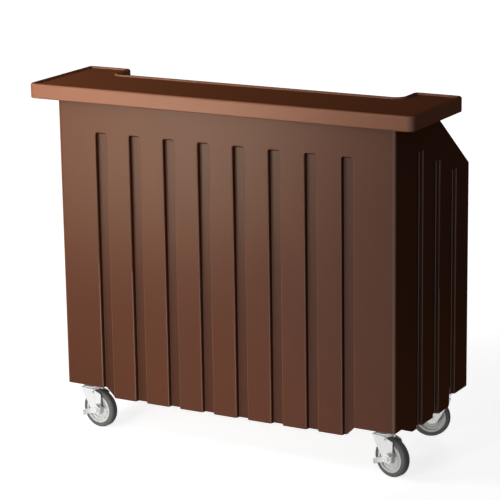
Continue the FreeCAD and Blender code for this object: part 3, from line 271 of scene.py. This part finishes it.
def plated(name, colour, roughness):
    """Bright plated steel: cloudy plating, fine drawing lines and dull handling marks."""
    material, flow = new_material(name)
    place = flow.place()
    cloud = place.noise(cell=0.018, detail=4.0)
    grain = place.stretched(1.0, 1.0, 0.15).noise(cell=0.0011, detail=3.0)
    dull = place.noise(cell=0.006, detail=5.0, rough=0.7).ramp(0.56, 0.74)
    flow.surface({
        "Base Color": (cloud * 0.6 + dull * 0.4).mix(shaded(colour, 1.06), shaded(colour, 0.84)),
        "Metallic": 0.65 - dull * 0.25,
        "Roughness": (roughness - 0.05) + cloud * 0.1 + dull * 0.12,
        "Normal": grain.bump(depth=0.00008, strength=0.5),
    })
    return material


def brushed(name, colour, roughness):
    """Brushed sheet metal with its lines along the length."""
    material, flow = new_material(name)
    place = flow.place()
    lines = place.stretched(0.02, 1.0, 1.0).noise(cell=0.0009, detail=3.0, rough=0.6)
    smear = place.noise(cell=0.07, detail=4.0).ramp(0.45, 0.7)
    flow.surface({
        "Base Color": (lines * 0.7 + smear * 0.3).mix(shaded(colour, 1.05), shaded(colour, 0.86)),
        "Metallic": 1.0,
        "Roughness": (roughness - 0.04) + lines * 0.1 + smear * 0.08,
        "Normal": lines.bump(depth=0.00006, strength=0.6),
    })
    return material


def plain_plastic(name, colour, roughness, grain=0.0012):
    """Moulded plastic with a fine grain and slight yellowing in patches."""
    material, flow = new_material(name)
    place = flow.place()
    patch = place.noise(cell=0.06, detail=4.0)
    fine = place.noise(cell=grain)
    red, green, blue = colour
    flow.surface({
        "Base Color": patch.mix(shaded(colour, 1.05), (red * 0.95, green * 0.94, blue * 0.92, 1.0)),
        "Roughness": (roughness - 0.04) + patch * 0.06 + fine * 0.05,
        "Normal": fine.bump(depth=grain * 0.06, strength=0.5),
    })
    return material


def rubber(name, colour, roughness):
    """Tyre rubber: matt, finely pitted, with dust that gathers in patches."""
    material, flow = new_material(name)
    place = flow.place()
    pits = place.cells(cell=0.0016)
    dust = place.noise(cell=0.012, detail=5.0, rough=0.65).ramp(0.48, 0.72)
    flow.surface({
        "Base Color": (dust * 0.5).mix(shaded(colour, 1.0), shaded(colour, 1.35)),
        "Roughness": (roughness - 0.05) + dust * 0.1 + pits * 0.06,
        "Specular IOR Level": 0.08,
        "Normal": pits.bump(depth=0.0001, strength=0.5),
    })
    return material


def foamed(name, colour):
    """Rigid foam with open cells."""
    material, flow = new_material(name)
    place = flow.place()
    cell = place.cells(cell=0.0025)
    patch = place.noise(cell=0.05, detail=3.0)
    flow.surface({
        "Base Color": (cell * 0.5 + patch * 0.5).mix(shaded(colour, 0.8), shaded(colour, 1.1)),
        "Roughness": 0.85 + cell * 0.1,
        "Normal": cell.bump(depth=0.0006),
    })
    return material


class BarFinishes(bpy.types.PropertyGroup):
    """Colours and surface of the bar's materials."""

    body_colour: FloatVectorProperty(
        name="Body colour", description="Brown of the moulded cabinet",
        subtype="COLOR", default=(0.118, 0.0385, 0.0175), min=0.0, max=1.0)
    # Painted highlight: a paler brown that stands in for the light caught on the cabinet's rounded front
    # edges
    edge_highlight_colour: FloatVectorProperty(
        name="Highlight colour", description="Paler brown of the cabinet's rubbed front edges",
        subtype="COLOR", default=(0.33, 0.18, 0.115), min=0.0, max=1.0)
    body_roughness: FloatProperty(
        name="Body roughness", description="Roughness of the moulded cabinet",
        subtype="FACTOR", default=0.46, min=0.0, max=1.0)
    # Painted highlight: the bar top is the cabinet's plastic, but its brown is set lighter to stand in
    # for the light on its front edge
    top_lit_colour: FloatVectorProperty(
        name="Top colour", description="Brown of the bar top",
        subtype="COLOR", default=(0.3, 0.122, 0.07), min=0.0, max=1.0)
    # Painted shade: a darker, redder brown for the bar top's up-facing faces, standing in for the lower
    # light they get
    pan_shade_colour: FloatVectorProperty(
        name="Pan colour", description="Deeper brown of the bar top's shadier upward faces",
        subtype="COLOR", default=(0.2, 0.063, 0.027), min=0.0, max=1.0)
    top_roughness: FloatProperty(
        name="Top roughness", description="Roughness of the bar top",
        subtype="FACTOR", default=0.4, min=0.0, max=1.0)
    grain: FloatProperty(
        name="Moulded grain", description="Size of the orange peel on moulded faces",
        unit="LENGTH", default=0.0045, min=0.0005)
    zinc_colour: FloatVectorProperty(
        name="Zinc", description="Tint of the bright plated steel",
        subtype="COLOR", default=(0.8, 0.81, 0.81), min=0.0, max=1.0)
    # Painted shade: the swivel races are set dark to stand in for the deep shade under the caster plates
    race_shade_colour: FloatVectorProperty(
        name="Swivel race", description="Tint of the greased swivel races",
        subtype="COLOR", default=(0.16, 0.155, 0.15), min=0.0, max=1.0)
    insert_colour: FloatVectorProperty(
        name="Inserts", description="Tint of the blackened threaded inserts",
        subtype="COLOR", default=(0.045, 0.035, 0.028), min=0.0, max=1.0)
    steel_colour: FloatVectorProperty(
        name="Stainless", description="Tint of the brushed stainless sheet",
        subtype="COLOR", default=(0.62, 0.61, 0.6), min=0.0, max=1.0)
    liner_colour: FloatVectorProperty(
        name="Liner", description="Off-white of the ice bin's liner",
        subtype="COLOR", default=(0.62, 0.6, 0.55), min=0.0, max=1.0)
    foam_colour: FloatVectorProperty(
        name="Foam", description="Buff of the ice bin's foam",
        subtype="COLOR", default=(0.72, 0.6, 0.36), min=0.0, max=1.0)
    jacket_colour: FloatVectorProperty(
        name="Jacket", description="Black of the ice bin's jacket",
        subtype="COLOR", default=(0.05, 0.05, 0.052), min=0.0, max=1.0)
    drain_colour: FloatVectorProperty(
        name="Drain plastic", description="Grey of the drain's plastic fittings",
        subtype="COLOR", default=(0.58, 0.58, 0.56), min=0.0, max=1.0)
    brass_colour: FloatVectorProperty(
        name="Brass", description="Tint of the drain valve's brass",
        subtype="COLOR", default=(0.72, 0.49, 0.2), min=0.0, max=1.0)
    core_colour: FloatVectorProperty(
        name="Wheel core", description="Grey of the moulded wheel cores",
        subtype="COLOR", default=(0.76, 0.77, 0.765), min=0.0, max=1.0)
    tyre_colour: FloatVectorProperty(
        name="Tyre", description="Grey of the rubber tyres",
        subtype="COLOR", default=(0.17, 0.172, 0.167), min=0.0, max=1.0)


class BarStudio(bpy.types.PropertyGroup):
    """Camera, light and floor."""

    camera_place: FloatVectorProperty(
        name="Camera", description="Place of the camera",
        subtype="TRANSLATION", unit="LENGTH", default=(3.433, -6.249, 2.436))
    yaw: FloatProperty(
        name="Yaw", description="Turn of the view from straight on",
        subtype="ANGLE", unit="ROTATION", default=math.radians(29.21))
    pitch: FloatProperty(
        name="Pitch", description="Fall of the view below the horizon",
        subtype="ANGLE", unit="ROTATION", default=math.radians(14.846))
    roll: FloatProperty(
        name="Roll", description="Tilt of the picture",
        subtype="ANGLE", unit="ROTATION", default=math.radians(-0.877))
    lens: FloatProperty(
        name="Lens", description="Focal length of the camera",
        unit="CAMERA", default=161.1, min=1.0)
    lift: FloatProperty(
        name="Lift", description="Upward shift of the picture as a share of its width",
        subtype="FACTOR", default=0.0394)
    key_place: FloatVectorProperty(
        name="Key light", description="Place of the large soft light in front",
        subtype="TRANSLATION", unit="LENGTH", default=(-1.2, -4.2, 2.5))
    key_target: FloatVectorProperty(
        name="Key target", description="Point at which the large soft light is aimed",
        subtype="TRANSLATION", unit="LENGTH", default=(-1.0, -0.3, 1.5))
    key_size: FloatProperty(
        name="Key size", description="Side of the large soft light",
        unit="LENGTH", default=2.4, min=0.1)
    key_power: FloatProperty(
        name="Key power", description="Power of the large soft light",
        unit="POWER", default=14.2, min=0.0)
    key_spread: FloatProperty(
        name="Key spread", description="Width of the large soft light's beam",
        subtype="ANGLE", unit="ROTATION", default=math.radians(50.0))
    card_place: FloatVectorProperty(
        name="Card light", description="Place of the low soft card that the front mirrors on the left",
        subtype="TRANSLATION", unit="LENGTH", default=(-1.6, -2.6, 0.6))
    card_target: FloatVectorProperty(
        name="Card target", description="Point at which the low soft card is aimed",
        subtype="TRANSLATION", unit="LENGTH", default=(-0.33, -0.29, 1.2))
    card_size: FloatProperty(
        name="Card size", description="Side of the low soft card",
        unit="LENGTH", default=1.0, min=0.1)
    card_power: FloatProperty(
        name="Card power", description="Power of the low soft card",
        unit="POWER", default=3.4, min=0.0)
    card_spread: FloatProperty(
        name="Card spread", description="Width of the low soft card's beam",
        subtype="ANGLE", unit="ROTATION", default=math.radians(54.0))
    card_colour: FloatVectorProperty(
        name="Card colour", description="Warm tint of the low soft card",
        subtype="COLOR", default=(1.0, 0.82, 0.62), min=0.0, max=1.0)
    side_place: FloatVectorProperty(
        name="Side light", description="Place of the smaller light on the left",
        subtype="TRANSLATION", unit="LENGTH", default=(-1.6, -1.2, 1.9))
    side_target: FloatVectorProperty(
        name="Side target", description="Point at which the smaller light is aimed",
        subtype="TRANSLATION", unit="LENGTH", default=(-0.3, -0.2, 0.9))
    side_size: FloatProperty(
        name="Side size", description="Side of the smaller light",
        unit="LENGTH", default=1.0, min=0.1)
    side_power: FloatProperty(
        name="Side power", description="Power of the smaller light",
        unit="POWER", default=15.0, min=0.0)
    fill_place: FloatVectorProperty(
        name="Fill light", description="Place of the soft light that lifts the foot of the front",
        subtype="TRANSLATION", unit="LENGTH", default=(-0.3, -3.0, 0.3))
    fill_target: FloatVectorProperty(
        name="Fill target", description="Point at which the light for the foot of the front is aimed",
        subtype="TRANSLATION", unit="LENGTH", default=(0.0, -0.29, -0.4))
    fill_size: FloatProperty(
        name="Fill size", description="Side of the soft light for the foot of the front",
        unit="LENGTH", default=0.8, min=0.1)
    fill_power: FloatProperty(
        name="Fill power", description="Power of the soft light for the foot of the front",
        unit="POWER", default=3.7, min=0.0)
    fill_spread: FloatProperty(
        name="Fill spread", description="Width of the beam for the foot of the front",
        subtype="ANGLE", unit="ROTATION", default=math.radians(48.0))
    low_place: FloatVectorProperty(
        name="Low light", description="Place of the small light near the floor on the right",
        subtype="TRANSLATION", unit="LENGTH", default=(1.9, -1.6, 0.25))
    low_target: FloatVectorProperty(
        name="Low target", description="Point at which the small light near the floor is aimed",
        subtype="TRANSLATION", unit="LENGTH", default=(0.53, 0.15, 0.06))
    low_size: FloatProperty(
        name="Low size", description="Side of the small light near the floor",
        unit="LENGTH", default=0.5, min=0.1)
    low_power: FloatProperty(
        name="Low power", description="Power of the small light near the floor",
        unit="POWER", default=0.04, min=0.0)
    low_spread: FloatProperty(
        name="Low spread", description="Width of the small light's beam",
        subtype="ANGLE", unit="ROTATION", default=math.radians(20.0))
    rear_place: FloatVectorProperty(
        name="Rear light", description="Place of the soft light on the serving side",
        subtype="TRANSLATION", unit="LENGTH", default=(-0.5, 3.0, 1.0))
    rear_target: FloatVectorProperty(
        name="Rear target", description="Point at which the soft light on the serving side is aimed",
        subtype="TRANSLATION", unit="LENGTH", default=(0.0, 0.27, 0.65))
    rear_size: FloatProperty(
        name="Rear size", description="Side of the soft light on the serving side",
        unit="LENGTH", default=1.2, min=0.1)
    rear_power: FloatProperty(
        name="Rear power", description="Power of the soft light on the serving side",
        unit="POWER", default=4.5, min=0.0)
    rear_spread: FloatProperty(
        name="Rear spread", description="Width of the beam on the serving side",
        subtype="ANGLE", unit="ROTATION", default=math.radians(60.0))
    ambient: FloatProperty(
        name="Ambient", description="Light from all round",
        subtype="FACTOR", default=0.085, min=0.0)
    floor_half: FloatProperty(
        name="Floor reach", description="Reach of the floor from the middle",
        unit="LENGTH", default=40.0, min=1.0)
    floor_pale: FloatProperty(
        name="Floor level", description="Grey level of the floor where it is seen",
        subtype="FACTOR", default=0.75, min=0.0, max=1.0)
    floor_bounce: FloatProperty(
        name="Floor bounce", description="Grey level of the floor for the light that it throws back",
        subtype="FACTOR", default=0.6, min=0.0, max=1.0)
    floor_glow: FloatProperty(
        name="Floor glow", description="Level that the seen floor keeps in the shadow",
        subtype="FACTOR", default=0.8, min=0.0, max=1.0)
    shadow_near: FloatProperty(
        name="Shadow start", description="Distance from the middle where the floor starts to turn white",
        unit="LENGTH", default=0.8, min=0.0)
    shadow_far: FloatProperty(
        name="Shadow end", description="Distance from the middle where the floor is white",
        unit="LENGTH", default=2.6, min=0.0)


class PORTABLE_BAR_OT_cabinet(bpy.types.Operator):
    """Finish the moulded cabinet and its shelf"""

    bl_idname = "portable_bar.cabinet"
    bl_label = "Cabinet"

    def execute(self, context):
        look = context.scene.bar_finishes
        surface = (look.body_colour, look.body_roughness, look.grain)
        # The cabinet's front gets the painted edge highlight and the painted shade of its groove floors
        dress(["cabinet_shell"], moulded("moulded_body", *surface, highlit=look.edge_highlight_colour))
        dress(["storage_shelf"], moulded("moulded_shelf", *surface))
        return {"FINISHED"}


class PORTABLE_BAR_OT_bar_top(bpy.types.Operator):
    """Finish the moulded bar top"""

    bl_idname = "portable_bar.bar_top"
    bl_label = "Bar top"

    def execute(self, context):
        look = context.scene.bar_finishes
        # The bar top's lighter brown is a painted highlight
        surface = (look.top_lit_colour, look.top_roughness, look.grain)
        # Its up-facing faces get the darker pan colour as painted shade
        dress(["bar_top"], moulded("moulded_top", *surface, upward=look.pan_shade_colour))
        return {"FINISHED"}


class PORTABLE_BAR_OT_ice_bin(bpy.types.Operator):
    """Finish the ice bin's liner, foam and jacket"""

    bl_idname = "portable_bar.ice_bin"
    bl_label = "Ice bin"

    def execute(self, context):
        look = context.scene.bar_finishes
        dress(["ice_bin_liner"], plain_plastic("bin_liner", look.liner_colour, roughness=0.38))
        dress(["ice_bin_foam"], foamed("foam", look.foam_colour))
        dress(["ice_bin_jacket"], plain_plastic("bin_jacket", look.jacket_colour, roughness=0.5))
        return {"FINISHED"}


class PORTABLE_BAR_OT_covers(bpy.types.Operator):
    """Finish the sliding covers, their rails and stops"""

    bl_idname = "portable_bar.covers"
    bl_label = "Bin covers"

    def execute(self, context):
        look = context.scene.bar_finishes
        material = moulded("bin_cover", look.body_colour, look.top_roughness, look.grain * 0.5)
        dress(["bin_cover_left", "bin_cover_right"], material)
        dress(["cover_rails", "cover_stops"], brushed("cover_rail", look.steel_colour, roughness=0.34))
        return {"FINISHED"}


class PORTABLE_BAR_OT_drain(bpy.types.Operator):
    """Finish the drain, its valve and lever"""

    bl_idname = "portable_bar.drain"
    bl_label = "Drain"

    def execute(self, context):
        look = context.scene.bar_finishes
        plastic = plain_plastic("drain_plastic", look.drain_colour, roughness=0.4)
        dress(["drain_flange", "drain_locknut", "drain_elbow"], plastic)
        dress(["drain_strainer"], brushed("strainer_steel", look.steel_colour, roughness=0.3))
        dress(["drain_valve_body"], plated("valve_brass", look.brass_colour, roughness=0.3))
        dress(["drain_lever"], plated("lever_steel", look.zinc_colour, roughness=0.34))
        return {"FINISHED"}


class PORTABLE_BAR_OT_speed_rail(bpy.types.Operator):
    """Finish the speed rail and its hangers"""

    bl_idname = "portable_bar.speed_rail"
    bl_label = "Speed rail"

    def execute(self, context):
        look = context.scene.bar_finishes
        sheet = brushed("stainless", look.steel_colour, roughness=0.32)
        dress(["speed_rail", "rail_hangers"], sheet)
        return {"FINISHED"}


class PORTABLE_BAR_OT_fixings(bpy.types.Operator):
    """Finish the brackets, screws, bolts and threaded inserts"""

    bl_idname = "portable_bar.fixings"
    bl_label = "Fixings"

    def execute(self, context):
        look = context.scene.bar_finishes
        dress(["top_brackets"], plated("bracket_zinc", look.zinc_colour, roughness=0.36))
        screws = ["bracket_screws", "hanger_screws", "caster_bolts"]
        dress(screws, plated("screw_zinc", look.zinc_colour, roughness=0.26))
        dress(["caster_inserts"], plated("insert_steel", look.insert_colour, roughness=0.45))
        return {"FINISHED"}


class PORTABLE_BAR_OT_caster_steel(bpy.types.Operator):
    """Finish the casters' plates, races, pins, forks, axles and brake levers"""

    bl_idname = "portable_bar.caster_steel"
    bl_label = "Caster steel"

    def execute(self, context):
        look = context.scene.bar_finishes
        pressed = plated("zinc_plate", look.zinc_colour, roughness=0.32)
        dress(at_casters("caster_plate", "fork"), pressed)
        # Painted shade: the swivel races are darkened to stand in for the shade under the plates
        shadowed = plated("race_in_shade", look.race_shade_colour, roughness=0.45)
        dress(at_casters("swivel_race"), shadowed)
        turned = plated("pin_zinc", look.zinc_colour, roughness=0.24)
        dress(at_casters("kingpin", "axle", "sleeve"), turned)
        dress([f"brake_lever_{corner}" for corner in FRONT_CORNERS], pressed)
        return {"FINISHED"}


class PORTABLE_BAR_OT_wheels(bpy.types.Operator):
    """Finish the wheel cores and tyres"""

    bl_idname = "portable_bar.wheels"
    bl_label = "Wheels"

    def execute(self, context):
        look = context.scene.bar_finishes
        dress(at_casters("wheel_core"), plain_plastic("wheel_core", look.core_colour, roughness=0.42))
        dress(at_casters("tyre"), rubber("tyre", look.tyre_colour, roughness=0.62))
        return {"FINISHED"}


def soft_light(name, place, target, size, power, spread=math.pi, colour=(1.0, 1.0, 1.0)):
    """A square soft light at place, turned to target, with its beam kept to spread."""
    light = bpy.data.lights.new(name, "AREA")
    light.shape = "SQUARE"
    light.size = size
    light.energy = power
    light.color = colour
    light.spread = spread
    lamp = bpy.data.objects.new(name, light)
    lamp.location = place
    lamp.rotation_euler = (Vector(target) - Vector(place)).to_track_quat("-Z", "Y").to_euler()
    bpy.context.collection.objects.link(lamp)


def studio_floor(studio):
    """A pale floor that keeps the shadow near the bar and runs out to white."""
    half = studio.floor_half
    mesh = bpy.data.meshes.new("studio_floor")
    corners = [(-half, -half, 0.0), (half, -half, 0.0), (half, half, 0.0), (-half, half, 0.0)]
    mesh.from_pydata(corners, [], [(0, 1, 2, 3)])
    floor = bpy.data.objects.new("studio_floor", mesh)
    bpy.context.collection.objects.link(floor)
    material, flow = new_material("studio_floor")
    far = flow.place().span().ramp(studio.shadow_near, studio.shadow_far)
    matt = {"Roughness": 0.9, "Specular IOR Level": 0.0}
    seen = flow.add("ShaderNodeBsdfPrincipled", inputs={
        **matt, "Base Color": grey(studio.floor_pale), "Emission Strength": 1.0,
        "Emission Color": far.mix(grey(studio.floor_glow), WHITE)})
    bounce = {**matt, "Base Color": grey(studio.floor_bounce)}
    unseen = flow.add("ShaderNodeBsdfPrincipled", inputs=bounce)
    shader = flow.add("ShaderNodeMixShader", inputs={0: flow.plain_sight(), 1: unseen, 2: seen})
    flow.add("ShaderNodeOutputMaterial", inputs={"Surface": shader})
    mesh.materials.append(material)


def studio_world(strength):
    """A white backdrop for the camera and a low even light for everything else."""
    world = bpy.data.worlds.new("studio_world")
    world.use_nodes = True
    world.node_tree.nodes.clear()
    flow = Flow(world.node_tree)
    seen = flow.add("ShaderNodeBackground", inputs={"Color": WHITE, "Strength": 1.0})
    unseen = flow.add("ShaderNodeBackground", inputs={"Color": WHITE, "Strength": strength})
    shader = flow.add("ShaderNodeMixShader", inputs={0: flow.plain_sight(), 1: unseen, 2: seen})
    flow.add("ShaderNodeOutputWorld", inputs={"Surface": shader})
    bpy.context.scene.world = world


def studio_camera(studio):
    """The camera at the photo's place and angle."""
    data = bpy.data.cameras.new("studio_camera")
    data.lens = studio.lens
    data.sensor_width = SENSOR_WIDTH
    data.shift_y = studio.lift
    data.clip_end = VIEW_REACH
    level = math.cos(studio.pitch)
    right = Vector((math.cos(studio.yaw), math.sin(studio.yaw), 0.0))
    ahead = Vector((-right.y * level, right.x * level, -math.sin(studio.pitch)))
    tilt = Matrix.Rotation(-studio.roll, 3, ahead)
    right = tilt @ right
    up = right.cross(ahead)
    turn = Matrix((right, up, -ahead)).transposed()
    camera = bpy.data.objects.new("studio_camera", data)
    camera.matrix_world = Matrix.Translation(studio.camera_place) @ turn.to_4x4()
    bpy.context.collection.objects.link(camera)
    bpy.context.scene.camera = camera


class PORTABLE_BAR_OT_studio(bpy.types.Operator):
    """Set up the floor, the light and the camera"""

    bl_idname = "portable_bar.studio"
    bl_label = "Studio"

    def execute(self, context):
        studio = context.scene.bar_studio
        context.scene.view_settings.view_transform = "Standard"
        studio_floor(studio)
        studio_world(studio.ambient)
        soft_light("key_light", studio.key_place, studio.key_target, studio.key_size,
                   studio.key_power, studio.key_spread)
        soft_light("card_light", studio.card_place, studio.card_target, studio.card_size,
                   studio.card_power, studio.card_spread, studio.card_colour)
        soft_light("side_light", studio.side_place, studio.side_target, studio.side_size,
                   studio.side_power)
        soft_light("fill_light", studio.fill_place, studio.fill_target, studio.fill_size,
                   studio.fill_power, studio.fill_spread)
        soft_light("low_light", studio.low_place, studio.low_target, studio.low_size,
                   studio.low_power, studio.low_spread)
        soft_light("rear_light", studio.rear_place, studio.rear_target, studio.rear_size,
                   studio.rear_power, studio.rear_spread)
        studio_camera(studio)
        return {"FINISHED"}


class PORTABLE_BAR_PT_sidebar(bpy.types.Panel):
    """Finishes and studio of the portable bar"""

    bl_idname = "PORTABLE_BAR_PT_sidebar"
    bl_label = "Portable Bar"
    bl_space_type = "VIEW_3D"
    bl_region_type = "UI"
    bl_category = "Portable Bar"

    def draw(self, context):
        for group in (context.scene.bar_finishes, context.scene.bar_studio):
            box = self.layout.box()
            for name in group.__annotations__:
                box.prop(group, name)
        for operator in OPERATORS:
            self.layout.operator(operator.bl_idname)


OPERATORS = (
    PORTABLE_BAR_OT_cabinet,
    PORTABLE_BAR_OT_bar_top,
    PORTABLE_BAR_OT_ice_bin,
    PORTABLE_BAR_OT_covers,
    PORTABLE_BAR_OT_drain,
    PORTABLE_BAR_OT_speed_rail,
    PORTABLE_BAR_OT_fixings,
    PORTABLE_BAR_OT_caster_steel,
    PORTABLE_BAR_OT_wheels,
    PORTABLE_BAR_OT_studio,
)
CLASSES = (BarFinishes, BarStudio) + OPERATORS + (PORTABLE_BAR_PT_sidebar,)


def register():
    """Register the classes and hang the settings on the scene."""
    for cls in CLASSES:
        bpy.utils.register_class(cls)
    bpy.types.Scene.bar_finishes = PointerProperty(type=BarFinishes)
    bpy.types.Scene.bar_studio = PointerProperty(type=BarStudio)


def unregister():
    """Take the settings and the classes away again."""
    del bpy.types.Scene.bar_studio
    del bpy.types.Scene.bar_finishes
    for cls in reversed(CLASSES):
        bpy.utils.unregister_class(cls)


def main():
    """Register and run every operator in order."""
    register()
    bpy.ops.portable_bar.cabinet()
    bpy.ops.portable_bar.bar_top()
    bpy.ops.portable_bar.ice_bin()
    bpy.ops.portable_bar.covers()
    bpy.ops.portable_bar.drain()
    bpy.ops.portable_bar.speed_rail()
    bpy.ops.portable_bar.fixings()
    bpy.ops.portable_bar.caster_steel()
    bpy.ops.portable_bar.wheels()
    bpy.ops.portable_bar.studio()


if __name__ == "__main__":
    main()
